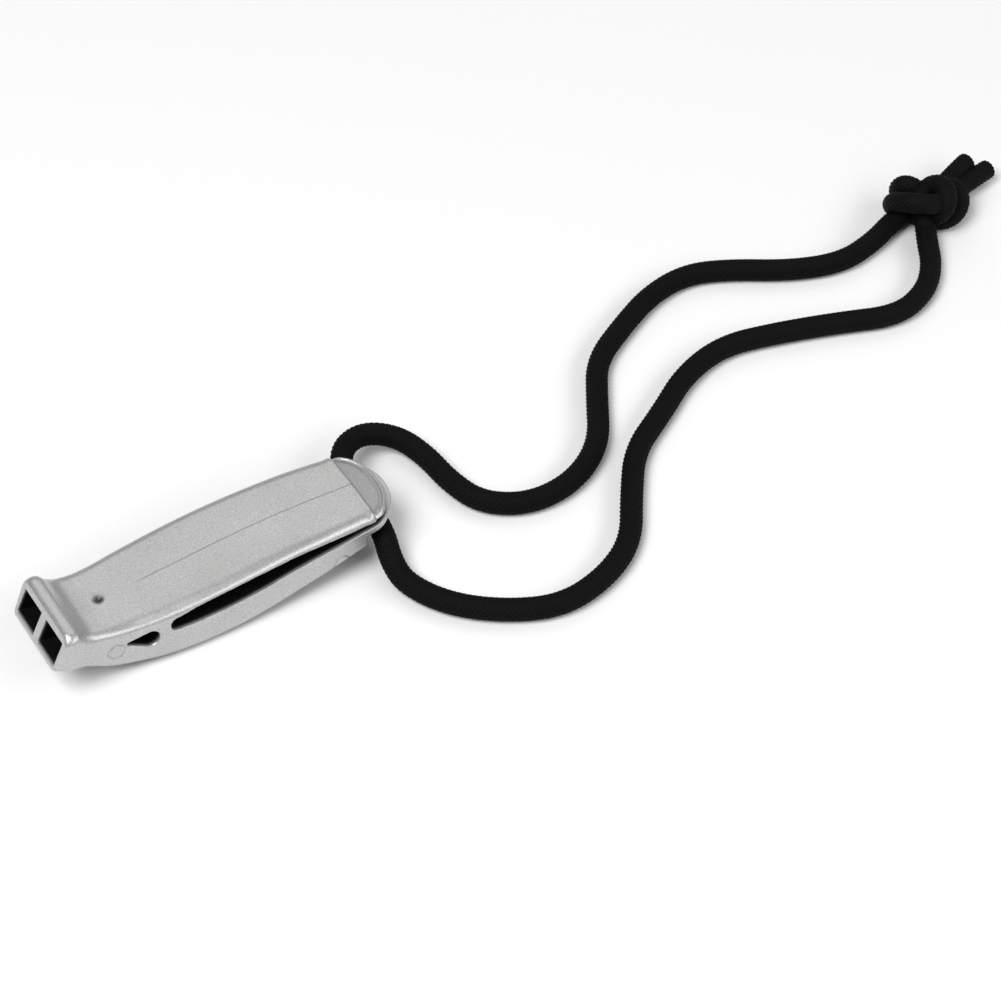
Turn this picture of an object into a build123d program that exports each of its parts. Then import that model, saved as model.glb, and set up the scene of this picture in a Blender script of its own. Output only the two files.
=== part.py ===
"""Flat twin-tone safety whistle with a sprung belt clip and a knotted cord loop.

+X runs from the mouth to the tail, +Y to the whistle's far side, +Z up. The origin
is on the surface that the whistle rests on, under the middle of its length.
All sizes are in millimetres.
"""
import os
from math import pi, radians, tan

from build123d import *

# Whistle, overall
length = 57.0              # mouth rim to the end of the lanyard lug
body_width = 15.9          # widest, a little before the middle
back_height = 11.0         # crown of the belt clip above the rest face
lip_height = 12.3          # top of the mouthpiece bead above the rest face

# Moulded walls
side_wall = 1.3
deck_thickness = 1.1
septum = 1.5               # rib between the two air ways
end_wall = 1.2

# Mouthpiece
mouth_width = 13.0         # outside, at the rim
neck_width = 13.5          # narrowest place behind the bead
bead_width = 14.2
mouth_base = 6.7           # lower lip above the rest face
mouth_lean = 2.5           # how far the upper lip is set back
airway_width = 4.9         # each opening
airway_floor = 7.4         # lower edge of the openings
airway_roof = 11.15        # upper edge of the openings
neck_distance = 12.0       # mouth rim to the lowest place of the neck
neck_height = 9.55

# Sound windows and windway blocks
window_distance = 14.5     # mouth rim to the centre of the round end
window_height = 5.85
window_radius = 1.45
window_run = 2.9           # round end's centre to the point
windway = 0.9              # slit beside each block
block_start = 4.5          # mouth rim to a block's thin end
block_end = 10.5

# Chambers and deck
chamber_front = 10.5       # mouth rim to the chambers
walls_rear = 7.0           # lug end to the end of the side walls
deck_front = 6.4           # deck height at the root of the clip
deck_rear = 8.65           # deck height at the tail
flange_tip = 0.8           # lug end to the rim of the deck flange
flange_bow = 5.7           # length of the flange's rounded end
tail_width = 14.0          # side walls at their end

# Base cover
cover_thickness = 1.2
cover_clearance = 0.05
pad_length = 13.0          # flat land that the whistle rests on
pad_width = 8.0
pad_distance = 24.0        # mouth rim to the middle of the land
belly_rise = 0.15          # land stands this far below the belly

# Belt clip
hinge_distance = 16.2      # mouth rim to the line that the clip bends about
hinge_height = 8.94
root_radius = 0.8
root_clearance = 0.05
clip_thickness = 1.2
step_distance = 6.0        # lug end to the step before the tip
step_drop = 0.35
clip_tip = 1.3             # lug end to the tip of the clip
clip_bow = 4.7             # length of the clip's rounded end
clip_gap = 0.45            # tip above the deck flange

# Lanyard lug
lug_width = 5.2
lug_base = 1.5
hole_distance = 3.8        # lug end to the lanyard hole
hole_height = 4.7
hole_radius = 2.1

# Cord
cord_diameter = 3.5
knot_length = 13.0
knot_radius = 4.4

os.makedirs("parts", exist_ok=True)

half_length = length / 2
cord_radius = cord_diameter / 2
reach = 2 * length         # longer than anything that is cut


def front(distance):
    """X of a place measured back from the mouth rim."""
    return distance - half_length


def rear(distance):
    """X of a place measured forward from the end of the lug."""
    return half_length - distance


walls_x = rear(walls_rear)
step_x = rear(step_distance)
hole_x = rear(hole_distance)
flange_x = rear(flange_tip)
clip_x = rear(clip_tip)
hinge_x = front(hinge_distance)


def half_width_points(inset):
    """Plan outline of one side, mouth to the end of the walls, moved in by inset."""
    half = body_width / 2
    return [
        (front(0.0), mouth_width / 2 - inset),
        (front(3.8), bead_width / 2 - inset),
        (front(8.0), neck_width / 2 - inset),
        (front(16.0), half - 0.45 - inset),
        (front(26.0), half - inset),
        (walls_x - 12.0, half - 0.3 - inset),
        (walls_x, tail_width / 2 - inset),
    ]


def deck_points():
    """Top of the deck, from the root of the clip to the flange."""
    middle = (deck_front + deck_rear) / 2
    return [
        (front(17.8), deck_front),
        (front(29.0), deck_front + 0.25),
        (walls_x - 13.0, middle + 0.1),
        (walls_x, deck_rear - 0.1),
        (flange_x, deck_rear),
    ]


def belly_points():
    """Bottom edge of the side walls, from their end to the lower lip."""
    return [
        (walls_x, 4.35),
        (walls_x - 6.5, 3.0),
        (walls_x - 14.5, 1.35),
        (front(28.0), belly_rise + 0.15),
        (front(22.0), belly_rise),
        (front(16.0), belly_rise + 0.35),
        (front(12.0), 1.2),
        (front(8.0), 2.8),
        (front(4.5), 5.3),
        (front(1.2), mouth_base - 0.75),
        (front(0.0), mouth_base),
    ]


def back_points():
    """Top of the belt clip, from its root to the step."""
    root_top = hinge_height + root_radius
    return [
        (hinge_x, root_top),
        (front(24.0), back_height - 0.75),
        (walls_x - 14.0, back_height),
        (step_x, back_height - 0.5),
    ]


# Tools: plan of the walls, plan of the space between them, side of that space
with BuildPart() as outer_plan:
    with BuildSketch():
        with BuildLine():
            side = Spline(half_width_points(0.0))
            bow = EllipticalCenterArc((flange_x - flange_bow, 0), flange_bow, tail_width / 2,
                                      start_angle=0, arc_size=90)
            Line(side @ 1, bow @ 1)
            Line(bow @ 0, (front(0.0), 0))
            Line((front(0.0), 0), side @ 0)
        make_face()
        mirror(about=Plane.XZ)
    extrude(amount=reach, both=True)

with BuildPart() as inner_plan:
    with BuildSketch():
        with BuildLine():
            side = Spline(half_width_points(side_wall))
            Polyline(side @ 1, (walls_x, 0), (front(0.0), 0), side @ 0)
        make_face()
        mirror(about=Plane.XZ)
    extrude(amount=reach, both=True)
    split(bisect_by=Plane.YZ.offset(walls_x - end_wall), keep=Keep.BOTTOM)
    split(bisect_by=Plane.YZ.offset(front(chamber_front)), keep=Keep.TOP)

with BuildPart() as air_ways:
    with BuildSketch(Plane.XZ):
        with BuildLine():
            Polyline((front(-2.0), airway_floor + 0.5), (front(0.2), airway_floor),
                     (front(chamber_front + 0.2), 4.6), (front(chamber_front + 0.2), 8.3),
                     (front(6.0), 9.35), (front(1.9), airway_roof),
                     (front(-2.0), airway_roof + 1.0), close=True)
        make_face()
    extrude(amount=septum / 2 + airway_width, both=True)
    with BuildSketch(Plane.XZ):
        Rectangle(reach, reach)
    extrude(amount=septum / 2, both=True, mode=Mode.SUBTRACT)

with BuildPart() as chambers:
    with BuildSketch(Plane.XZ):
        with BuildLine():
            roof = Spline([(x, z - deck_thickness) for x, z in deck_points()])
            Polyline(roof @ 1, (flange_x, -1), (front(chamber_front), -1),
                     (front(chamber_front), deck_front - deck_thickness + 1.6), roof @ 0)
        make_face()
    extrude(amount=reach, both=True)
    add(inner_plan.part, mode=Mode.INTERSECT)

with BuildPart() as cover_band:
    with BuildSketch(Plane.XZ):
        with BuildLine():
            under = Spline(belly_points())
            over = Spline([(x, z + cover_thickness) for x, z in belly_points()])
            Line(under @ 0, over @ 0)
            Line(under @ 1, over @ 1)
        make_face()
    extrude(amount=reach, both=True)

with BuildPart() as rib:
    with BuildSketch(Plane.XZ):
        with BuildLine():
            under = Spline([(x, z + cover_thickness + cover_clearance) for x, z in belly_points()])
            Polyline(under @ 0, (walls_x, lip_height), (front(0.0), lip_height), under @ 1)
        make_face()
    extrude(amount=septum / 2, both=True)

with BuildPart() as windows:
    with BuildSketch(Plane.XZ):
        with Locations((front(window_distance), window_height)):
            Circle(window_radius)
        with Locations((front(window_distance - window_run), window_height + 0.4)):
            Circle(0.25)
        make_hull()
    extrude(amount=body_width, both=True)
    with BuildSketch(Plane.XZ):
        Rectangle(reach, reach)
    extrude(amount=body_width / 2 - 3.0, both=True, mode=Mode.SUBTRACT)

# Whistle body: mouthpiece, side walls, septum, deck with its flange, and the lug
with BuildPart() as whistle_body:
    with BuildSketch(Plane.XZ):
        with BuildLine():
            belly = Spline(belly_points())
            face = Line((front(0.0), mouth_base), (front(mouth_lean), lip_height - 0.3))
            neck = Spline([
                face @ 1,
                (front(3.7), lip_height),
                (front(5.6), lip_height - 1.3),
                (front(8.0), neck_height + 0.5),
                (front(neck_distance), neck_height),
                (hinge_x, hinge_height + root_radius),
            ])
            deck = Spline(deck_points())
            Polyline(neck @ 1, (hinge_x, hinge_height - root_radius - root_clearance),
                     (front(17.4), hinge_height - root_radius - root_clearance), deck @ 0)
            Polyline(deck @ 1, (flange_x, deck_rear - deck_thickness),
                     (walls_x, deck_rear - deck_thickness), belly @ 0)
        make_face()
    extrude(amount=reach, both=True)
    add(outer_plan.part, mode=Mode.INTERSECT)
    add(chambers.part - rib.part, mode=Mode.SUBTRACT)
    add(air_ways.part, mode=Mode.SUBTRACT)
    add(windows.part, mode=Mode.SUBTRACT)
    with BuildSketch(Plane.XZ):
        with Locations((hinge_x, hinge_height)):
            Circle(root_radius + root_clearance)
    extrude(amount=reach, both=True, mode=Mode.SUBTRACT)
    with BuildSketch(Plane.XZ):
        with BuildLine():
            Polyline((walls_x - end_wall, deck_rear - deck_thickness / 2),
                     (walls_x - end_wall, hole_height), (walls_x + 0.6, lug_base),
                     (rear(1.8), lug_base), (rear(0.0), lug_base + 2.4),
                     (rear(0.0), deck_rear - deck_thickness / 2), close=True)
        make_face()
        with Locations((hole_x, hole_height)):
            Circle(hole_radius, mode=Mode.SUBTRACT)
    extrude(amount=lug_width / 2, both=True)
whistle_body.part.label = "whistle_body"

# Base cover: flush panel between the walls, with the flat land under it
with BuildPart() as base_cover:
    with BuildSketch():
        with BuildLine():
            side = Spline(half_width_points(side_wall + cover_clearance))
            Polyline(side @ 1, (walls_x, 0), (front(0.0), 0), side @ 0)
        make_face()
        mirror(about=Plane.XZ)
    extrude(amount=reach, both=True)
    split(bisect_by=Plane.YZ.offset(walls_x - end_wall - cover_clearance), keep=Keep.BOTTOM)
    split(bisect_by=Plane.YZ.offset(front(chamber_front) + cover_clearance), keep=Keep.TOP)
    add(cover_band.part, mode=Mode.INTERSECT)
    with BuildSketch():
        with Locations((front(pad_distance), 0)):
            RectangleRounded(pad_length, pad_width, 1.5)
    extrude(amount=belly_rise + cover_thickness / 2)
base_cover.part.label = "base_cover"

# Windway blocks: wedges that press the breath against each side wall
for name, way in (("windway_block_right", 1), ("windway_block_left", -1)):
    with BuildPart() as block:
        with BuildSketch():
            with BuildLine():
                Polyline((front(block_start), way * septum / 2),
                         (front(block_end), way * septum / 2),
                         (front(block_end), way * (septum / 2 + airway_width - windway)),
                         close=True)
            make_face()
        extrude(amount=lip_height)
        add(air_ways.part, mode=Mode.INTERSECT)
    block.part.label = name
    export_step(block.part, f"parts/{name}.step")

# Belt clip: sprung tongue over the deck
with BuildPart() as belt_clip:
    with BuildSketch():
        with BuildLine():
            side = Spline(half_width_points(0.0))
            bow = EllipticalCenterArc((clip_x - clip_bow, 0), clip_bow, tail_width / 2 - 0.3,
                                      start_angle=0, arc_size=90)
            Line(side @ 1, bow @ 1)
            Line(bow @ 0, (front(0.0), 0))
            Line((front(0.0), 0), side @ 0)
        make_face()
        mirror(about=Plane.XZ)
    extrude(amount=reach, both=True)
    with BuildSketch(Plane.XZ):
        with BuildLine():
            tip_base = deck_rear + clip_gap
            back = Spline(back_points())
            nose = ThreePointArc((hinge_x, hinge_height + root_radius),
                                 (hinge_x - root_radius, hinge_height),
                                 (hinge_x, hinge_height - root_radius))
            web = Spline([
                nose @ 1,
                (front(18.5), hinge_height - root_radius + 0.1),
                (front(24.0), back_height - 0.75 - clip_thickness),
                (walls_x - 14.0, back_height - clip_thickness),
                (step_x - 2.0, tip_base + 0.3),
                (clip_x, tip_base),
            ])
            Polyline(back @ 1, (step_x + 0.2, back_height - 0.5 - step_drop),
                     (clip_x, tip_base + 0.75), web @ 1)
        make_face()
    extrude(amount=reach, both=True, mode=Mode.INTERSECT)
belt_clip.part.label = "belt_clip"

# Cord: two strands from the lanyard hole to the knot, and two cut tails.
# The points lie where a limp cord of this length falls from the hole and lies flat.
far_route = [
    (hole_x, 0.0, hole_height), (24.7, 5.3, 4.7), (26.9, 10.6, 5.5), (31.7, 12.9, 4.4),
    (36.4, 11.4, 2.6), (38.5, 6.6, 1.75), (38.9, 0.0, 1.75), (40.8, -6.0, 1.75),
    (47.0, -9.8, 1.75), (55.0, -9.2, 1.75), (62.1, -4.6, 1.75), (66.7, 3.2, 1.75),
    (71.0, 10.0, 1.75), (78.5, 14.3, 1.75), (86.0, 17.9, 1.75), (93.5, 18.9, 1.75),
    (100.0, 16.3, 1.75), (108.0, 11.3, 1.75), (116.0, 8.6, 1.75), (123.0, 9.8, 1.75),
    (129.0, 12.2, 1.95), (132.6, 12.6, 2.6),
]
near_route = [
    (hole_x, 0.0, hole_height), (24.7, -5.0, 4.7), (24.6, -9.0, 2.2), (25.3, -13.2, 1.75),
    (28.1, -19.5, 1.75), (33.1, -25.4, 1.75), (40.5, -28.6, 1.75), (48.5, -27.3, 1.75),
    (55.5, -23.4, 1.75), (60.5, -15.8, 1.75), (65.8, -8.6, 1.75), (73.5, -4.2, 1.75),
    (80.8, 0.6, 1.75), (89.3, 2.9, 1.75), (97.9, 1.0, 1.75), (108.0, -2.2, 1.75),
    (116.8, -5.6, 1.75), (123.8, -3.4, 1.75), (128.3, 1.0, 1.75), (130.6, 5.6, 2.2),
    (132.6, 8.8, 2.8),
]
knot_centre = (135.2, 10.9)
knot_turn = 12.0           # degrees from +X
tail_routes = {
    "cord_tail_upper": [(138.4, 13.4, 4.9), (142.2, 15.0, 4.5), (146.4, 16.2, 3.9)],
    "cord_tail_lower": [(139.4, 9.9, 3.9), (144.2, 11.4, 3.1), (149.2, 13.3, 2.3)],
}


def bend_radii(route):
    """One radius a corner: 0.45 of the shorter run, over the tangent of half the turn."""
    points = [Vector(*point) for point in route]
    radii = []
    for before, corner, after in zip(points, points[1:], points[2:]):
        run_in, run_out = corner - before, after - corner
        half_turn = radians(run_in.get_angle(run_out) / 2)
        radii.append(0.45 * min(run_in.length, run_out.length) / tan(half_turn))
    return radii


for name, route in {"cord_far": far_route, "cord_near": near_route, **tail_routes}.items():
    radii = bend_radii(route)
    with BuildPart() as cord:
        with BuildLine():
            path = FilletPolyline(*route, radius=radii)
        with BuildSketch(Plane(origin=path @ 0, z_dir=path % 0)):
            Circle(cord_radius)
        sweep(path=path)
    section = pi * cord_radius ** 2
    print(f"{name}: {path.length:.1f} mm, tightest {min(radii):.1f} mm,"
          f" volume {cord.part.volume / (section * path.length):.4f} of section times length")
    print("   radii", " ".join(f"{radius:.1f}" for radius in radii))
    cord.part.label = name
    export_step(cord.part, f"parts/{name}.step")

# Knot: outer shape of the doubled overhand knot
with BuildPart() as knot:
    knot_plane = Plane(origin=(*knot_centre, knot_radius)).rotated((0, 0, knot_turn))
    with BuildSketch(knot_plane):
        Ellipse(knot_length / 2, knot_radius)
        Rectangle(knot_length, knot_radius, align=(Align.CENTER, Align.MAX), mode=Mode.SUBTRACT)
    revolve(axis=Axis(knot_plane.origin, knot_plane.x_dir))
knot.part.label = "knot"

export_step(whistle_body.part, "parts/whistle_body.step")
export_step(base_cover.part, "parts/base_cover.step")
export_step(belt_clip.part, "parts/belt_clip.step")
export_step(knot.part, "parts/knot.step")
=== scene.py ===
"""Looks of the flat safety whistle: moulded shell, sprung clip and braided cord loop.

Lengths inside the shape functions are millimetres; every mesh is written in metres.
"""
from math import radians

import bmesh
import bpy
import numpy as np
from mathutils import Euler, Matrix, Vector


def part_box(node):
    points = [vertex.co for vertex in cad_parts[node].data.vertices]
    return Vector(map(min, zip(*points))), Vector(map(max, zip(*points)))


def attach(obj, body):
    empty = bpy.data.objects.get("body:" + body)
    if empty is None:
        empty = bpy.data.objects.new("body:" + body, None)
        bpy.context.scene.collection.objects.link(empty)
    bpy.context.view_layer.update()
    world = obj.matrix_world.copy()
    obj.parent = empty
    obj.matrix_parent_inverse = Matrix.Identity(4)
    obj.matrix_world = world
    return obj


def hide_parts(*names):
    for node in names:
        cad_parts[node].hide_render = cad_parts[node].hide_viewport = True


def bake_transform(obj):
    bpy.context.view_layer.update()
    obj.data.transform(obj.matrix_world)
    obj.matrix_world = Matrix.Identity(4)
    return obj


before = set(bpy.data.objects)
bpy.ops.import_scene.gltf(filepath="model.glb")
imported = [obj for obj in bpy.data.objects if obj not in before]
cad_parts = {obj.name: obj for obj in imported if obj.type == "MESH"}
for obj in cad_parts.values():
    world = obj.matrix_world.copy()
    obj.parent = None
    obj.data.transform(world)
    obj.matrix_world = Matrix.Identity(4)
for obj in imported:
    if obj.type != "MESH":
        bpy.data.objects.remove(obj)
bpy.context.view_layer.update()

MM = 0.001

# ---------------------------------------------------------------- places from the frame
body_low, body_high = (np.array(corner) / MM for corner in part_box("whistle_body"))
mouth_x = body_low[0]
lug_end = body_high[0] - mouth_x
clip_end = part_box("belt_clip")[1][0] / MM - mouth_x - 0.4
flange_end = lug_end - 0.8

# ---------------------------------------------------------------- sizes of the moulding
# Millimetres. Places along the whistle are distances from the mouth rim; heights are above
# the rest face.
grid_step = 0.19           # cell of the grid that the field is sampled on
side_wall = 1.3
deck_thickness = 1.1
half_septum = 0.75
walls_end = 49.4           # end of the side walls
chamber_front, chamber_end = 10.5, 48.8
cover_depth = 1.25         # room for the base cover in the underside

# Mouth face: its normal in the side view, a height where it meets the rim, its rounding
mouth_normal, mouth_height, mouth_round = (-0.904, 0.427), 6.6, 0.32
airway_middle, airway_half = 3.23, 2.53
airway_floor = ([-2, 0.2, 10.7], [7.82, 7.35, 4.6])
airway_roof = ([-2, 1.9, 6.0, 10.7], [12.2, 11.1, 9.3, 8.2])
airway_reach = 10.7        # the air ways open into the chambers here

slot_start = 17.7          # closed end of the slot under the clip
slot_round = 1.0
clip_seam = 18.6           # where the clip's skin starts, at rest with the body
mouthpiece_seam = 14.6     # between the skins of the mouthpiece and of the chambers

edge_round = 1.4           # long edges of the back
edge_spread = 0.72         # their rounding is this share as high as it is wide
belly_round, belly_round_more = 0.9, 0.8      # at the mouth, and added behind the neck
belly_round_span = (6, 14)
crown_height = 0.14        # the back's middle stands this far above its outline line
crown_span = (11, 20)      # it starts to rise and is at its full height here
rim_round = 0.18           # edges of the slot
wall_round = 0.2           # ends of the side walls, underside of the flange
flange_start, flange_round = slot_start + 3, 0.16
airway_corner, airway_edge = 0.25, 0.13       # corners of its section, edges at its ends
chamber_corner, chamber_edge = 0.3, 0.12
slot_corner = 0.02         # the slot's roof and floor meet almost sharp

clip_bow, flange_bow = 5.3, 7.0               # lengths of the two rounded ends
tip_power = 2.25           # 2 would be a plain ellipse
step_place, step_drop = 50.9, 0.40            # step down from the back to the tip's dish
bead_place, bead_height, bead_width = step_place - 0.4, 0.12, 0.38
tip_slope, lip_height = 0.16, 0.42
lip_band = (-1.15, -0.6)   # the lip's inner slope, measured from the tip's outline
dish_band = (0.45, 1.1)    # where the dish's painted shade comes in, inwards from it
nib_place, nib_height, nib_size = 50.1, 9.95, 0.14
nib_length, nib_rise = 0.35, 0.5

lug_half_width, lug_base, lug_top = 1.75, 1.7, 8.1
lug_root, lug_tip = walls_end - 0.8, 55.7
lug_round, lug_edge = 2.2, 0.35
lug_fillet = 0.25
hole_place, hole_height, hole_radius, hole_round = 53.2, 4.7, 1.95, 0.3
hole_start = walls_end + 0.4                  # the hole's cut stops short of the walls

window_place, window_height = 14.45, 5.9
window_radius, window_run = 1.5, 2.9          # round end, and its centre to the point
window_point_radius, window_point_rise = 0.40, 0.4
window_ramp = 0.10         # its edge comes in by this much through the wall
window_round = 0.16
window_reach = 4.4         # the windows are cut in to this distance from the middle

# Marks left by the mould: height or depth of each, and how wide it is
gate_place = 10.3
gate_ring, gate_ring_radius, gate_ring_width = 0.07, 1.05, 0.3
gate_pit, gate_pit_width = 0.28, 0.48
gate_sink, gate_sink_width = 0.10, 1.9
pin_marks = ((9.5, 5.6), (45.0, 4.2))
pin_radius, pin_depth, pin_width = 1.25, 0.18, 0.15

# Outline lines of the moulding: distance from the mouth rim, height or half width
back_line = [
    (-2, 11.4), (1.2, 11.9), (2.6, 12.2), (3.6, 12.3), (4.5, 12.0), (5.3, 11.15),
    (6.3, 10.5), (8, 9.98), (10, 9.68), (12, 9.56), (16, 9.72), (20, 9.98), (24, 10.28),
    (30, 10.72), (36, 11.0), (42, 10.97), (48, 10.68), (51, 10.50), (53.5, 10.62),
    (56, 10.95), (60, 11.3),
]
belly_line = [
    (-2, 6.9), (0, 6.5), (1.2, 6.0), (2.4, 5.75), (3.4, 5.68), (4.6, 5.3), (6, 4.25),
    (8, 2.8), (10, 1.85), (12, 1.2), (16, 0.5), (20, 0.2), (22, 0.15), (25, 0.2),
    (28, 0.32), (32, 0.7), (36, 1.38), (40, 2.15), (44, 3.0), (50, 4.35), (60, 6.6),
]
side_line = [
    (-2, 6.2), (0, 6.42), (1.6, 6.75), (3.2, 7.08), (4.4, 7.06), (6, 6.82), (8, 6.74),
    (12, 7.03), (16, 7.5), (20, 7.78), (26, 7.95), (32, 7.87), (38, 7.68), (44, 7.5),
    (50, 7.15), (60, 6.8),
]
deck_line = [
    (10, 5.78), (17.8, 5.78), (21, 5.72), (24, 5.8), (29, 6.08), (33, 6.5), (37, 7.08),
    (43, 7.74), (50, 8.2), (56, 8.45), (60, 8.45),
]
web_line = [
    (10, 8.1), (17, 8.1), (19, 8.3), (21.5, 8.8), (24, 9.1), (30, 9.55), (36, 9.8),
    (42, 9.7), (48, 9.33), (51, 9.2), (54, 9.4), (60, 9.75),
]


def through(points):
    """Smooth line through points: cubic between neighbours, with the slope at each point
    taken from the two points beside it. Returns its value and its slope at any place."""
    x, y = np.array(points, float).T
    slope = np.gradient(y, x)

    def line(s):
        i = np.clip(np.searchsorted(x, s) - 1, 0, len(x) - 2)
        run = x[i + 1] - x[i]
        t = np.clip((s - x[i]) / run, 0, 1)
        a, b, p, q = y[i], y[i + 1], slope[i] * run, slope[i + 1] * run
        square, cube = 3 * (b - a) - 2 * p - q, 2 * (a - b) + p + q
        value = a + t * p + t * t * square + t ** 3 * cube
        tilt = (p + 2 * t * square + 3 * t * t * cube) / run
        return value, tilt

    return line


back, belly, side, deck, web = map(
    through, (back_line, belly_line, side_line, deck_line, web_line))


def above(line, s, z):
    """Distance above a line in the side view: the height over it, times the cosine of the
    line's slope."""
    value, tilt = line(s)
    return (z - value) / np.sqrt(1 + tilt * tilt)


def both(a, b, r):
    """Where two fields overlap, their common edge rounded to radius r: past the two flat
    parts the distance is that from the rounding's centre, less the radius."""
    corner = np.hypot(np.maximum(a + r, 0), np.maximum(b + r, 0))
    return np.minimum(-r, np.maximum(a, b)) + corner


def either(a, b, r):
    """Two fields joined, with the inner corner between them filled to radius r."""
    corner = np.hypot(np.maximum(r - a, 0), np.maximum(r - b, 0))
    return np.maximum(r, np.minimum(a, b)) - corner


def cut(a, b, r):
    """Field a without field b, the new edge rounded to radius r."""
    return both(a, -b, r)


def plan(s, y, end, bow, power=2.0):
    """Plan outline: the side line on both sides, then half a squarish oval of length bow
    up to end, |a|^p + |b|^p = 1. On the oval the distance is taken as its value over the
    size of its slope."""
    half = side(np.array([end - bow]))[0][0]
    value, tilt = side(s)
    straight = (np.abs(y) - value) / np.sqrt(1 + tilt * tilt)
    u = np.maximum(s - (end - bow), 0)
    a, b = u / bow, np.abs(y) / half
    g = (a ** power + b ** power) ** (1 / power)
    slope = np.hypot(a ** (power - 1) / bow, b ** (power - 1) / half)
    rounded = (g - 1) * g ** (power - 1) / np.maximum(slope, 1e-6)
    return np.where(u > 0, rounded, straight)


def drop(s, z):
    """Sound window in the side view: a round end drawn out to a point towards the mouth.
    It is the distance to the line from the centre to the point, less a radius that shrinks
    along that line."""
    run, rise = -window_run, window_point_rise
    px, pz = s - window_place, z - window_height
    t = np.clip((px * run + pz * rise) / (run ** 2 + rise ** 2), 0, 1)
    radius = window_radius + (window_point_radius - window_radius) * t
    return np.hypot(px - t * run, pz - t * rise) - radius


def smooth_step(a, b, x):
    """0 below a, 1 above b, and 3t^2 - 2t^3 between."""
    t = np.clip((x - a) / (b - a), 0, 1)
    return t * t * (3 - 2 * t)


def bump(x, width):
    """A rounded bump of height 1 at x = 0: exp(-(x / width)^2)."""
    return np.exp(-(x / width) ** 2)


def back_relief(s, y, outline):
    """Height over the plain back: a low bead and a step down before the tip, a raised lip
    round the tip's rim, and the gate's ring, pit and shallow sink on the neck."""
    bead = bead_height * bump(s - bead_place, bead_width)
    low = step_drop * smooth_step(step_place - 0.1, step_place + 0.25, s)
    lip = (lip_height * smooth_step(*lip_band, outline)
           * smooth_step(step_place + 0.1, step_place + 1.6, s))
    slope = tip_slope * np.maximum(s - step_place, 0)
    r = np.hypot(s - gate_place, y)
    gate = (gate_ring * bump(r - gate_ring_radius, gate_ring_width)
            - gate_pit * bump(r, gate_pit_width) - gate_sink * bump(r, gate_sink_width))
    return bead - low - slope + lip + gate


def outer_form(s, y, z):
    """Fields of the uncut shell, of its underside and of the slanted mouth face. The shell
    is where the plan outline, the back and the belly overlap. Two ejector pins left shallow
    rings on its near side, each a rounded groove round a circle, and a low nib stands there
    just ahead of the step."""
    outline = plan(s, y, clip_end, clip_bow, tip_power)
    crown = crown_height * (1 - 2 * (y / side(s)[0]) ** 2) * smooth_step(*crown_span, s)
    top = above(back, s, z) - back_relief(s, y, outline) - crown
    under = -above(belly, s, z)
    rings = 0
    for place, height in pin_marks:
        r = np.hypot(s - place, z - height)
        rings = rings + pin_depth * bump(r - pin_radius, pin_width)
    nib = nib_size * bump(s - nib_place, nib_length) * bump(z - nib_height, nib_rise)
    skin = outline + np.where(y < 0, rings - nib, 0)
    under_round = belly_round + belly_round_more * smooth_step(*belly_round_span, s)
    whole = np.maximum(both(edge_spread * skin, top, edge_round),
                       both(skin, under, under_round))
    face = mouth_normal[0] * s + mouth_normal[1] * (z - mouth_height)
    return whole, under, face


def moulding(x, y, z):
    """Field of the whole moulding, body and clip in one: below zero inside. It is the
    shell, less the slot, the air ways, the chambers, the windows and the space behind the
    walls, with the deck's flange and the lanyard lug added."""
    s = x - mouth_x
    whole, under, face = outer_form(s, y, z)

    deck_top = above(deck, s, z)
    web_top = above(web, s, z)
    slot = both(both(-deck_top, web_top, slot_corner), slot_start - s, slot_round)
    solid = cut(whole, slot, rim_round)
    behind = np.maximum(walls_end - s, deck_top + deck_thickness)
    solid = cut(solid, behind, wall_round)

    rim = plan(s, y, flange_end, flange_bow)
    flange = both(both(rim, deck_top, flange_round), -deck_top - deck_thickness, wall_round)
    solid = np.minimum(solid, np.maximum(flange, flange_start - s))

    lug_long = np.abs(s - (lug_root + lug_tip) / 2) - (lug_tip - lug_root) / 2
    lug_high = np.abs(z - (lug_base + lug_top) / 2) - (lug_top - lug_base) / 2
    lug = both(both(lug_long, lug_high, lug_round), np.abs(y) - lug_half_width, lug_edge)
    solid = either(solid, lug, lug_fillet)
    hole = np.hypot(s - hole_place, z - hole_height) - hole_radius
    solid = cut(solid, np.maximum(hole, hole_start - s), hole_round)

    solid = both(solid, face, mouth_round)

    floor, roof = np.interp(s, *airway_floor), np.interp(s, *airway_roof)
    airway = both(np.abs(np.abs(y) - airway_middle) - airway_half,
                  both(z - roof, floor - z, airway_corner), airway_corner)
    solid = cut(solid, np.maximum(airway, s - airway_reach), airway_edge)

    inner = np.abs(y) - (side(s)[0] - side_wall)
    ends = np.maximum(chamber_front - s, s - chamber_end)
    chamber = both(np.maximum(inner, half_septum - np.abs(y)),
                   deck_top + deck_thickness, chamber_corner)
    bay = np.maximum(inner, -under - cover_depth)
    solid = cut(solid, np.maximum(np.minimum(chamber, bay), ends), chamber_edge)

    depth = np.clip((side(s)[0] - np.abs(y)) / side_wall, 0, 1.5)
    ramp = window_ramp * depth * smooth_step(window_place - 1.0, window_place + 1.0, s)
    window = np.maximum(drop(s, z) + ramp, window_reach - np.abs(y))
    return cut(solid, window, window_round)


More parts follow.
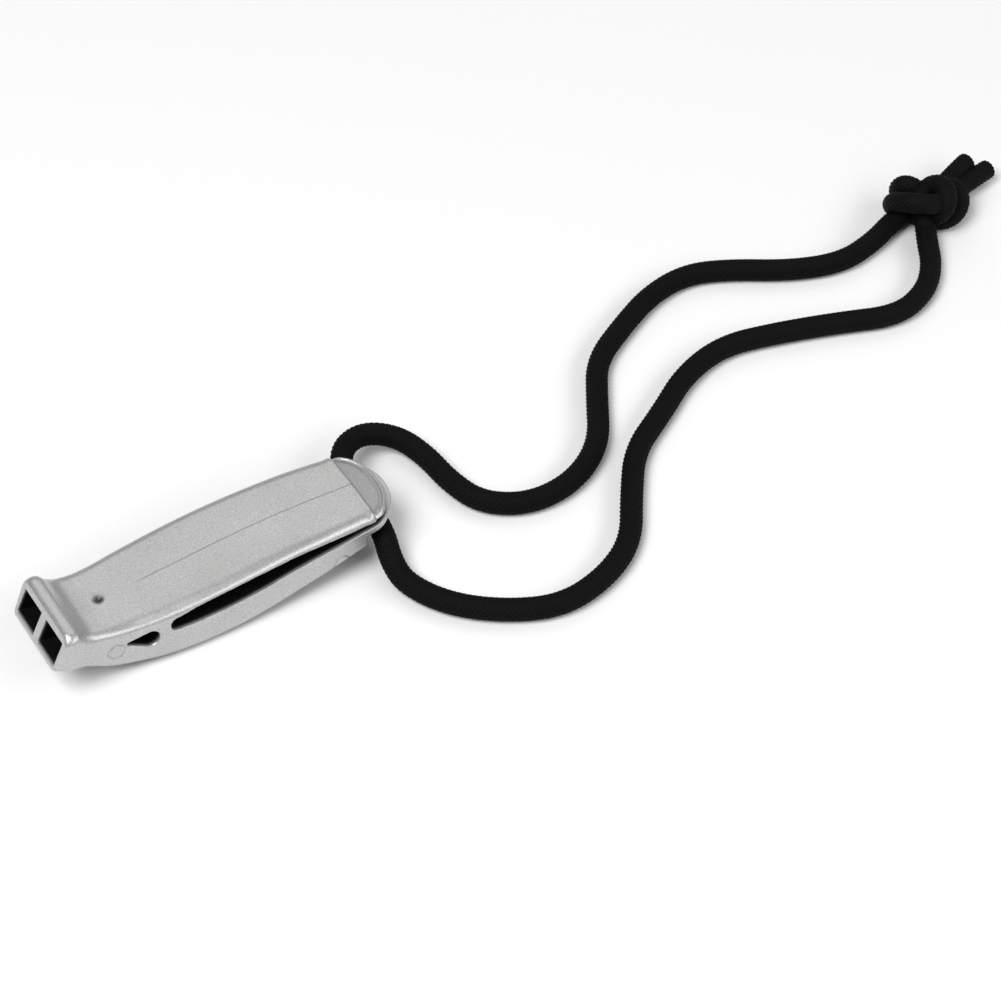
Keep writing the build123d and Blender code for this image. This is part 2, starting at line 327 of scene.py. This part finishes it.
def surface_net(field, low, high, step):
    """Surface of field = 0 on a grid of cubes. Each cube that the surface crosses gets one
    point, the mean of its edge crossings, then moved onto the surface along the field's
    slope by the field over the slope. Each grid edge that it crosses gets one face between
    the four cubes round it. Returns points, faces and outward normals."""
    axes = [np.arange(a, b + step, step) for a, b in zip(low, high)]
    values = field(axes[0][:, None, None], axes[1][None, :, None], axes[2][None, None, :])
    inside = values < 0
    corners = [(i, j, k) for i in (0, 1) for j in (0, 1) for k in (0, 1)]
    size = np.array(values.shape) - 1

    def corner(array, c):
        return array[c[0]:c[0] + size[0], c[1]:c[1] + size[1], c[2]:c[2] + size[2]]

    count = sum(corner(inside, c).astype(np.int8) for c in corners)
    crossed = (count > 0) & (count < 8)
    cells = np.argwhere(crossed)
    number = np.full(crossed.shape, -1)
    number[crossed] = np.arange(len(cells))

    total, hits = np.zeros((len(cells), 3)), np.zeros(len(cells))
    for a in corners:
        for axis in range(3):
            if a[axis]:
                continue
            b = tuple(v + (n == axis) for n, v in enumerate(a))
            fa, fb = (values[tuple((cells + c).T)] for c in (a, b))
            crossing = (fa < 0) != (fb < 0)
            t = np.where(crossing, fa / np.where(crossing, fa - fb, 1), 0)
            place = cells + np.array(a, float)
            place[:, axis] += t
            total += place * crossing[:, None]
            hits += crossing
    points = np.array([axis[0] for axis in axes]) + step * total / hits[:, None]

    def slope(p, h=0.004):
        return np.stack([(field(*(p + h * e).T) - field(*(p - h * e).T)) / (2 * h)
                         for e in np.eye(3)], 1)

    passes, flattest, longest = 4, 0.05, 0.3 * step
    for _ in range(passes):
        g = slope(points)
        move = g * (field(*points.T) / np.maximum((g * g).sum(1), flattest))[:, None]
        length = np.linalg.norm(move, axis=1, keepdims=True)
        points -= move * np.minimum(1, longest / np.maximum(length, 1e-9))
    normals = slope(points)
    normals /= np.maximum(np.linalg.norm(normals, axis=1, keepdims=True), 1e-9)

    faces = []
    for axis in range(3):
        b, c = (axis + 1) % 3, (axis + 2) % 3
        lead = [slice(None)] * 3
        tail = [slice(None)] * 3
        lead[axis], tail[axis] = slice(0, -1), slice(1, None)
        change = inside[tuple(lead)].astype(np.int8) - inside[tuple(tail)]
        edges = np.argwhere(change != 0)
        edges = edges[((edges[:, b] > 0) & (edges[:, c] > 0)
                       & (edges[:, b] < size[b]) & (edges[:, c] < size[c]))]
        ring = []
        for db, dc in ((-1, -1), (0, -1), (0, 0), (-1, 0)):
            cell = edges.copy()
            cell[:, b] += db
            cell[:, c] += dc
            ring.append(number[tuple(cell.T)])
        quad = np.stack(ring, 1)
        flip = change[tuple(edges.T)] < 0
        quad[flip] = quad[flip][:, ::-1]
        faces.append(quad)
    return points, np.concatenate(faces), normals


skin_depth = (0.15, 0.55)  # painted shade inside the openings: the tone falls from 1 to 0 between these depths
dish_shade, crater_shade = 0.26, 0.9          # share of the tone taken away: painted shade on the tip's dish and in the gate's pit
crater_radius = 0.75
lug_skin_top = 8.0         # behind the walls and below this, all of it is outer skin
tip_above, neck_above = 9.7, 8.5              # heights that only the skin on top reaches


def painted_shade_tone(points):
    """Painted shade: 1 on the outer skin, falling to 0 inside the slot, the air ways and
    the
    windows: 1 less a smooth step over the depth below the uncut shell and behind the mouth
    face. The dish at the tip is painted a shade darker, and so is the bottom of the gate's
    pit, which fades as exp(-(r / radius)^4)."""
    x, y, z = points.T
    s = x - mouth_x
    whole, _, face = outer_form(s, y, z)
    depth = -np.maximum(whole, face)
    depth = np.where((s > walls_end) & (z < lug_skin_top), 0, depth)
    on_tip, on_neck = z > tip_above, z > neck_above
    dish = (smooth_step(step_place, step_place + 0.3, s) * on_tip
            * smooth_step(*dish_band, -plan(s, y, clip_end, clip_bow, tip_power)))
    crater = np.exp(-(np.hypot(s - gate_place - 0.1, y) / crater_radius) ** 4) * on_neck
    skin = 1 - smooth_step(*skin_depth, depth)
    return skin * (1 - dish_shade * dish) * (1 - crater_shade * crater)


def add_mesh(name, points, faces, normals=None, close=False):
    """One mesh object at the origin from points in millimetres. Normals, if given, are
    kept for its shading; with close, its open rings are filled."""
    used = np.unique(faces)
    renumber = np.full(len(points), -1)
    renumber[used] = np.arange(len(used))
    mesh = bpy.data.meshes.new(name)
    mesh.from_pydata((points[used] * MM).tolist(), [], renumber[faces].tolist())
    if close:
        work = bmesh.new()
        work.from_mesh(mesh)
        bmesh.ops.holes_fill(work, edges=[e for e in work.edges if e.is_boundary])
        work.to_mesh(mesh)
        work.free()
    mesh.shade_smooth()
    if normals is not None:
        mesh.normals_split_custom_set_from_vertices(normals[used].tolist())
    # painted shade, stored per point for the plastic's colour
    tone = mesh.attributes.new("painted_shade_tone", "FLOAT", "POINT")
    tone.data.foreach_set("value", painted_shade_tone(points[used]))
    piece = bpy.data.objects.new(name, mesh)
    bpy.context.collection.objects.link(piece)
    mesh.calc_loop_triangles()
    print(name, "triangles", len(mesh.loop_triangles))
    return piece


# ---------------------------------------------------------------- materials
# Silver plastic: pale grey between two tones, in a fine grain with slow clouds over it.
# Scales are cells in a metre; lengths of the furrow are metres.
grain_scale, cloud_scale = 6500.0, 110.0
darker_grain, lighter_grain = (0.39, 0.39, 0.39, 1), (0.61, 0.61, 0.605, 1)
cloud_low, cloud_high = 0.96, 1.03
furrow_inner, furrow_outer = 0.00002, 0.00011  # full depth, and the end of its slopes
furrow_start, furrow_fade_in = (mouth_x + 15.5) * MM, 0.002
furrow_end, furrow_fade_out = (mouth_x + step_place - 0.2) * MM, 0.0004
furrow_low, furrow_high = 0.0088, 0.0092       # it starts between these heights
furrow_tone = 0.55         # share of the colour left in it, as painted shade
furrow_depth = 1.5         # its depth, the grain's own being 1
inside_tone = 0.03         # share of the colour left deep inside the openings, as painted shade
plastic_metallic, plastic_roughness = 0.65, 0.36
plastic_bump, plastic_bump_height = 0.3, 0.00004

# Black braid
darker_fibre, lighter_fibre = (0.0008, 0.0008, 0.0009, 1), (0.0035, 0.0035, 0.0036, 1)
fibre_bump, fibre_bump_height = 0.35, 0.00006


def new_material(name):
    """An empty node material, with its tree, its shader and a short way to add nodes."""
    material = bpy.data.materials.new(name)
    material.use_nodes = True
    tree = material.node_tree
    shader = tree.nodes["Principled BSDF"]

    def node(kind, **sockets):
        n = tree.nodes.new(kind)
        for key, value in sockets.items():
            n.inputs[key.replace("_", " ")].default_value = value
        return n

    return material, tree, shader, node


def silver_plastic():
    """Silver-pigmented moulded plastic: pale grey with a fine sparkle, a satin skin and
    faint flow clouds. The halves of the mould met in a hair-fine furrow along the middle
    of the back, its colour darkened as painted shade. Painted shade also darkens the colour
    deep inside the openings, on the tip's dish and in the gate's pit."""
    material, tree, shader, node = new_material("silver_plastic")
    link = tree.links.new

    def mixed(kind, a, b, share=1.0):
        mix = tree.nodes.new("ShaderNodeMix")
        mix.data_type, mix.blend_type = "RGBA", kind
        mix.inputs[0].default_value = share
        link(a, mix.inputs[6])
        link(b, mix.inputs[7])
        return mix.outputs[2]

    def ranged(source, low, high, out_low, out_high):
        chart = tree.nodes.new("ShaderNodeMapRange")
        for key, value in zip(("From Min", "From Max", "To Min", "To Max"),
                              (low, high, out_low, out_high)):
            chart.inputs[key].default_value = value
        link(source, chart.inputs["Value"])
        return chart.outputs["Result"]

    def result_of(operation, a, b):
        math = tree.nodes.new("ShaderNodeMath")
        math.operation = operation
        link(a, math.inputs[0])
        if isinstance(b, float):
            math.inputs[1].default_value = b
        else:
            link(b, math.inputs[1])
        return math.outputs[0]

    place = node("ShaderNodeTexCoord")
    grain = node("ShaderNodeTexNoise", Scale=grain_scale, Detail=1.0, Roughness=0.5)
    cloud = node("ShaderNodeTexNoise", Scale=cloud_scale, Detail=3.0, Roughness=0.5)
    for texture in (grain, cloud):
        link(place.outputs["Object"], texture.inputs["Vector"])
    tone = tree.nodes.new("ShaderNodeValToRGB")
    tone.color_ramp.elements[0].position = 0.30
    tone.color_ramp.elements[0].color = darker_grain
    tone.color_ramp.elements[1].position = 0.70
    tone.color_ramp.elements[1].color = lighter_grain
    link(grain.outputs["Fac"], tone.inputs["Fac"])
    colour = mixed("MULTIPLY", tone.outputs["Color"],
                   ranged(cloud.outputs["Fac"], 0.3, 0.7, cloud_low, cloud_high))

    axes = node("ShaderNodeSeparateXYZ")
    link(place.outputs["Object"], axes.inputs[0])
    off_middle = result_of("ABSOLUTE", axes.outputs["Y"], 0.0)
    furrow = ranged(off_middle, furrow_inner, furrow_outer, 1.0, 0.0)
    for socket, low, high, value_low, value_high in (
            ("X", furrow_start, furrow_start + furrow_fade_in, 0.0, 1.0),
            ("Z", furrow_low, furrow_high, 0.0, 1.0),
            ("X", furrow_end, furrow_end + furrow_fade_out, 1.0, 0.0)):
        share = ranged(axes.outputs[socket], low, high, value_low, value_high)
        furrow = result_of("MULTIPLY", furrow, share)
    # painted shade: the furrow's colour is darkened
    colour = mixed("MULTIPLY", colour, ranged(furrow, 0.0, 1.0, 1.0, furrow_tone))

    # painted shade: the colour darkened by the point attribute inside the openings, on the
    # tip's dish and in the gate's pit
    skin = node("ShaderNodeAttribute")
    skin.attribute_name = "painted_shade_tone"
    shade = ranged(skin.outputs["Fac"], 0.0, 1.0, inside_tone, 1.0)
    link(mixed("MULTIPLY", colour, shade), shader.inputs["Base Color"])

    deep = result_of("MULTIPLY", furrow, furrow_depth)
    height = result_of("SUBTRACT", grain.outputs["Fac"], deep)
    relief = node("ShaderNodeBump", Strength=plastic_bump, Distance=plastic_bump_height)
    link(height, relief.inputs["Height"])
    link(relief.outputs["Normal"], shader.inputs["Normal"])
    shader.inputs["Metallic"].default_value = plastic_metallic
    shader.inputs["Roughness"].default_value = plastic_roughness
    return material


def black_braid():
    """Black polyester braid: near black, dull, with the soft bloom of fine fibres."""
    material, tree, shader, node = new_material("black_braid")
    link = tree.links.new
    uv = tree.nodes.new("ShaderNodeUVMap")
    uv.uv_map = "braid"
    fibre = node("ShaderNodeTexNoise", Scale=14.0, Detail=4.0, Roughness=0.7)
    link(uv.outputs["UV"], fibre.inputs["Vector"])
    tone = tree.nodes.new("ShaderNodeValToRGB")
    tone.color_ramp.elements[0].color = darker_fibre
    tone.color_ramp.elements[1].color = lighter_fibre
    link(fibre.outputs["Fac"], tone.inputs["Fac"])
    link(tone.outputs["Color"], shader.inputs["Base Color"])
    relief = node("ShaderNodeBump", Strength=fibre_bump, Distance=fibre_bump_height)
    link(fibre.outputs["Fac"], relief.inputs["Height"])
    link(relief.outputs["Normal"], shader.inputs["Normal"])
    shader.inputs["Roughness"].default_value = 0.62
    shader.inputs["Sheen Weight"].default_value = 0.012
    shader.inputs["Sheen Roughness"].default_value = 0.5
    shader.inputs["Specular IOR Level"].default_value = 0.09
    return material


plastic = silver_plastic()
braid = black_braid()

# ---------------------------------------------------------------- the moulding
margin = 0.4               # the grid reaches this far past the moulding
points, faces, normals = surface_net(
    moulding,
    (mouth_x - 1.5 * margin, body_low[1] - margin, -margin),
    (body_high[0] + margin, body_high[1] + margin, body_high[2] + margin),
    grid_step,
)
middle = points[faces].mean(1)
place = middle[:, 0] - mouth_x
slot_middle = (deck(place)[0] + web(place)[0]) / 2
on_clip = (place > clip_seam) & (middle[:, 2] > slot_middle)
at_mouth = (place < mouthpiece_seam) & ~on_clip

clip = add_mesh("clip_tongue", points, faces[on_clip], normals, close=True)
mouthpiece = add_mesh("mouthpiece_shell", points, faces[at_mouth], normals)
case = add_mesh("chamber_shell", points, faces[~on_clip & ~at_mouth], normals)
for piece in (clip, mouthpiece, case):
    piece.data.materials.append(plastic)
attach(mouthpiece, "body")
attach(case, "body")
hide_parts("whistle_body")
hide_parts("whistle_body")
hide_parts("belt_clip")
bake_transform(clip)
for node_name in ("base_cover", "windway_block_right", "windway_block_left"):
    node_object = bpy.data.objects[node_name]
    node_object.data.materials.clear()
    node_object.data.materials.append(plastic)

# ---------------------------------------------------------------- cord
cord_diameter = 3.5
hole_x = mouth_x + hole_place
far_route = [
    (hole_x, 0.0, hole_height), (24.4, 5.6, 4.7), (26.4, 10.9, 5.4), (31.45, 13.2, 4.35),
    (36.4, 11.4, 2.6), (38.5, 6.6, 1.75), (38.9, 0.0, 1.75), (40.8, -6.0, 1.75),
    (47.0, -9.8, 1.75), (55.0, -9.2, 1.75), (62.1, -4.6, 1.75), (66.7, 3.2, 1.75),
    (71.0, 10.0, 1.75), (78.5, 14.3, 1.75), (86.0, 17.9, 1.75), (93.5, 18.9, 1.75),
    (100.0, 16.3, 1.75), (108.0, 11.3, 1.75), (116.0, 8.6, 1.75), (123.0, 9.8, 1.75),
    (129.0, 12.2, 1.95), (132.6, 12.6, 2.6),
]
near_route = [
    (hole_x, 0.0, hole_height), (24.5, -5.0, 4.7), (23.4, -9.4, 2.2), (23.4, -13.9, 1.75),
    (26.8, -20.2, 1.75), (33.1, -25.4, 1.75), (40.5, -28.6, 1.75), (48.5, -27.3, 1.75),
    (55.5, -23.4, 1.75), (60.5, -15.8, 1.75), (65.8, -8.6, 1.75), (73.5, -4.2, 1.75),
    (80.8, 0.6, 1.75), (89.3, 2.9, 1.75), (97.9, 1.0, 1.75), (108.0, -2.2, 1.75),
    (116.8, -5.6, 1.75), (123.8, -3.4, 1.75), (128.3, 1.0, 1.75), (130.6, 5.6, 2.2),
    (132.6, 8.8, 2.8),
]
braid_columns = 14         # crossings round the cord
braid_pitch = 0.80         # from one crossing to the next along it, mm
braid_relief = 0.22        # height of a crossing over the hollows, mm
strand_long, strand_across = 0.5, 0.8         # powers of the cosines in a crossing


def smooth_line(route):
    """The route as one smooth open line: a quadratic NURBS spline with the route's points
    as its control points. Returns the points along it, in millimetres."""
    curve = bpy.data.curves.new("route", "CURVE")
    curve.dimensions = "3D"
    spline = curve.splines.new("NURBS")
    spline.points.add(len(route) - 1)
    spline.points.foreach_set(
        "co", np.column_stack([np.array(route) * MM, np.ones(len(route))]).ravel())
    spline.order_u = 3
    spline.use_endpoint_u = True
    spline.resolution_u = 24
    holder = bpy.data.objects.new("route", curve)
    mesh = bpy.data.meshes.new_from_object(holder)
    line = np.empty(len(mesh.vertices) * 3)
    mesh.vertices.foreach_get("co", line)
    bpy.data.objects.remove(holder)
    bpy.data.meshes.remove(mesh)
    return line.reshape(-1, 3) / MM


def even(line, spacing):
    """The line again with evenly spaced points, and their places along its length."""
    steps = np.linalg.norm(np.diff(line, axis=0), axis=1)
    along = np.concatenate([[0], np.cumsum(steps)])
    count = max(int(round(along[-1] / spacing)), 8)
    places = np.linspace(0, along[-1], count + 1)
    return np.stack([np.interp(places, along, line[:, i]) for i in range(3)], 1), places


def frames(line):
    """The line's direction at each point, and two square to it, carried without twist."""
    tangent = np.gradient(line, axis=0)
    tangent /= np.linalg.norm(tangent, axis=1, keepdims=True)
    first = np.cross(tangent[0], (0.0, 0.0, 1.0))
    if np.linalg.norm(first) < 0.1:
        first = np.cross(tangent[0], (0.0, 1.0, 0.0))
    sides = [first / np.linalg.norm(first)]
    for t in tangent[1:]:
        carried = sides[-1] - t * sides[-1].dot(t)
        sides.append(carried / np.linalg.norm(carried))
    across = np.array(sides)
    return tangent, across, np.cross(tangent, across)


def braid_height(turn, along):
    """Relief of a round braid, 0 to 1. Two sets of strands wind opposite ways and cross in
    diamonds; in every other diamond the one set lies on top, long along its own way, and
    in the rest the other. In a diamond the height is a product of two cosines, each to its
    own power, one the long way and one across it."""
    u = braid_columns * turn + along / braid_pitch
    v = braid_columns * turn - along / braid_pitch
    fu, fv = np.cos(np.pi * (u % 1 - 0.5)), np.cos(np.pi * (v % 1 - 0.5))
    over = (np.floor(u) + np.floor(v)) % 2 < 1
    return np.where(over, fu ** strand_long * fv ** strand_across,
                    fu ** strand_across * fv ** strand_long)


def braided_tube(name, line, radius, start=0.0):
    """A round braided cord along a line: a tube whose radius is the cord's less the relief
    in the hollows of the braid. Both ends are domed shut: the radius there is multiplied
    by the square root of 1 - (1 - t)^2. Carries a UV map of turn and length."""
    per_cell = 6
    dome_length = 0.35 * radius
    line, along = even(line, braid_pitch / per_cell)
    tangent, across, up = frames(line)
    rings, around = len(line), braid_columns * per_cell
    turn = np.arange(around) / around
    height = braid_height(turn[None, :], along[:, None] + start)
    end = np.minimum(along, along[-1] - along)
    dome = np.sqrt(np.clip(1 - (1 - np.clip(end / dome_length, 0, 1)) ** 2, 0.02, 1))
    r = (radius - braid_relief * (1 - height)) * dome[:, None]
    a = 2 * np.pi * turn
    surface = (line[:, None] + (r * np.cos(a))[:, :, None] * across[:, None]
               + (r * np.sin(a))[:, :, None] * up[:, None])
    points = np.concatenate([surface.reshape(-1, 3), line[[0, -1]]])
    i, j = np.meshgrid(np.arange(rings - 1), np.arange(around), indexing="ij")
    k = (j + 1) % around
    quads = np.stack([i * around + j, i * around + k, (i + 1) * around + k,
                      (i + 1) * around + j], -1).reshape(-1, 4)
    j = np.arange(around)
    k = (j + 1) % around
    last = (rings - 1) * around
    caps = [(rings * around, b, a) for a, b in zip(j, k)]
    caps += [(rings * around + 1, last + a, last + b) for a, b in zip(j, k)]
    caps = [[int(v) for v in cap] for cap in caps]
    mesh = bpy.data.meshes.new(name)
    mesh.from_pydata((points * MM).tolist(), [], quads.tolist() + caps)
    mesh.shade_smooth()
    corner = np.empty(len(mesh.loops), dtype=np.int32)
    mesh.loops.foreach_get("vertex_index", corner)
    ring_of, turn_of = np.divmod(np.minimum(corner, rings * around - 1), around)
    uv = np.stack([braid_columns * turn[turn_of], along[ring_of] / braid_pitch], 1)
    seam = np.arange(len(quads) * 4) // 4 % around == around - 1
    wrap = np.zeros(len(corner), bool)
    wrap[:len(seam)] = seam & (turn_of[:len(seam)] == 0)
    uv[wrap, 0] += braid_columns
    mesh.uv_layers.new(name="braid").data.foreach_set("uv", uv.ravel())
    piece = bpy.data.objects.new(name, mesh)
    bpy.context.collection.objects.link(piece)
    piece.data.materials.append(braid)
    return piece


def length_of(line):
    """Length of a line: the sum of the distances between its neighbouring points."""
    return float(np.linalg.norm(np.diff(line, axis=0), axis=1).sum())


# Doubled overhand knot; control points in millimetres. The far strand comes in at the
# front, goes up through the middle, round the near side, back underneath, up round the
# front, over the top and out at the back as a cut tail. The near strand goes up through the
# middle, over the top, down the near side, underneath, up round the far side and out beside
# the other tail.
knot_far = [
    (131.0, 12.6, 2.3), (132.9, 12.3, 3.0), (136.0, 12.6, 3.8), (138.4, 12.4, 4.6),
    (139.8, 10.9, 5.0), (139.5, 8.8, 4.4), (138.2, 7.7, 3.0), (136.0, 7.8, 2.0),
    (133.8, 9.7, 1.8), (132.1, 12.8, 1.8), (130.2, 14.1, 2.6), (128.9, 13.1, 5.2),
    (129.3, 10.1, 7.3), (131.4, 8.1, 7.4), (134.5, 8.0, 6.2), (138.8, 10.7, 3.6),
    (142.6, 12.6, 2.4), (146.1, 13.3, 2.4), (149.6, 14.0, 2.3),
]
knot_near = [
    (131.3, 6.5, 2.2), (132.0, 8.4, 3.4), (132.9, 10.5, 4.0), (134.6, 12.5, 4.8),
    (136.1, 12.4, 6.2), (136.7, 10.3, 7.4), (135.9, 7.9, 7.2), (134.7, 6.9, 5.6),
    (133.8, 8.3, 3.4), (133.6, 12.2, 1.9), (133.3, 15.5, 2.0), (132.6, 16.4, 3.6),
    (132.8, 15.3, 5.4), (133.9, 14.3, 5.2), (135.1, 13.3, 3.8), (137.5, 13.1, 3.0),
    (140.1, 13.8, 3.2), (144.4, 15.3, 3.7), (146.6, 15.9, 3.9),
]
pulled_tight = 0.94        # share of the cord's thickness left in the knot
knot_strands = [
    braided_tube("knot_" + side_name, smooth_line(route),
                 pulled_tight * cord_diameter / 2, start)
    for side_name, route, start in (("far", knot_far, 0.3), ("near", knot_near, 0.7))]
for strand in knot_strands:
    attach(strand, "body")
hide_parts("knot")
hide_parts("cord_tail_lower")
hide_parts("cord_tail_upper")

for name, route, ends in (("cord_far", far_route, knot_strands[:1]),
                          ("cord_near", near_route, knot_strands[1:])):
    line = smooth_line(route)
    strand = braided_tube(name.replace("cord", "strand"), line, cord_diameter / 2)
    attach(strand, "body")
    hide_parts(name)
    print(name, "length mm", round(length_of(line), 1))


# ---------------------------------------------------------------- camera, floor and light
def add_camera():
    """Camera aimed at a point on the floor beyond the whistle's tail, from the near side
    and the mouth's end."""
    aim = np.array([0.0442, -0.0056, 0.0])
    distance, tilt, heading, roll = 0.4551, radians(41.92), radians(32.61), radians(1.4)
    data = bpy.data.cameras.new("camera")
    data.sensor_width = 36.0
    data.lens = 110.97
    data.clip_start, data.clip_end = 0.01, 10.0
    camera = bpy.data.objects.new("camera", data)
    bpy.context.collection.objects.link(camera)
    camera.rotation_mode = "XYZ"
    turn = Euler((tilt, 0, -heading), "XYZ").to_matrix() @ Matrix.Rotation(roll, 3, "Z")
    camera.rotation_euler = turn.to_euler("XYZ")
    camera.location = aim + distance * np.array(turn.col[2])
    bpy.context.scene.camera = camera


def add_floor(half, whiteness):
    """Plain white floor, a square of this half width, large enough to fill every view."""
    mesh = bpy.data.meshes.new("floor")
    corners = [(-half, -half, 0), (half, -half, 0), (half, half, 0), (-half, half, 0)]
    mesh.from_pydata(corners, [], [(0, 1, 2, 3)])
    floor = bpy.data.objects.new("floor", mesh)
    bpy.context.collection.objects.link(floor)
    material, _, shader, _ = new_material("pale_floor")
    shader.inputs["Base Color"].default_value = (whiteness, whiteness, whiteness, 1)
    shader.inputs["Roughness"].default_value = 0.9
    mesh.materials.append(material)


def add_light(name, place, aim, size, power):
    """One soft rectangular lamp, long side level, aimed at a point."""
    data = bpy.data.lights.new(name, "AREA")
    data.shape = "RECTANGLE"
    data.size, data.size_y = size
    data.energy = power
    lamp = bpy.data.objects.new(name, data)
    bpy.context.collection.objects.link(lamp)
    lamp.location = place
    beam = Vector(aim) - Vector(place)
    lamp.rotation_euler = beam.to_track_quat("-Z", "Y").to_euler()


add_camera()
add_floor(half=1.5, whiteness=0.82)
add_light("strip_light", place=(0.42, -0.56, 0.54), aim=(0.0, 0, 0),
          size=(1.4, 0.30), power=4.2)
add_light("top_light", place=(-0.44, -0.15, 0.84), aim=(0.03, 0, 0),
          size=(0.5, 0.5), power=9.0)
add_light("back_light", place=(0.32, 0.50, 0.67), aim=(0.0, 0, 0),
          size=(0.9, 0.6), power=1.6)
world = bpy.data.worlds.new("studio")
world.use_nodes = True
background = world.node_tree.nodes["Background"]
background.inputs["Color"].default_value = (1, 1, 1, 1)
background.inputs["Strength"].default_value = 0.13
bpy.context.scene.world = world
bpy.context.scene.view_settings.view_transform = "Standard"
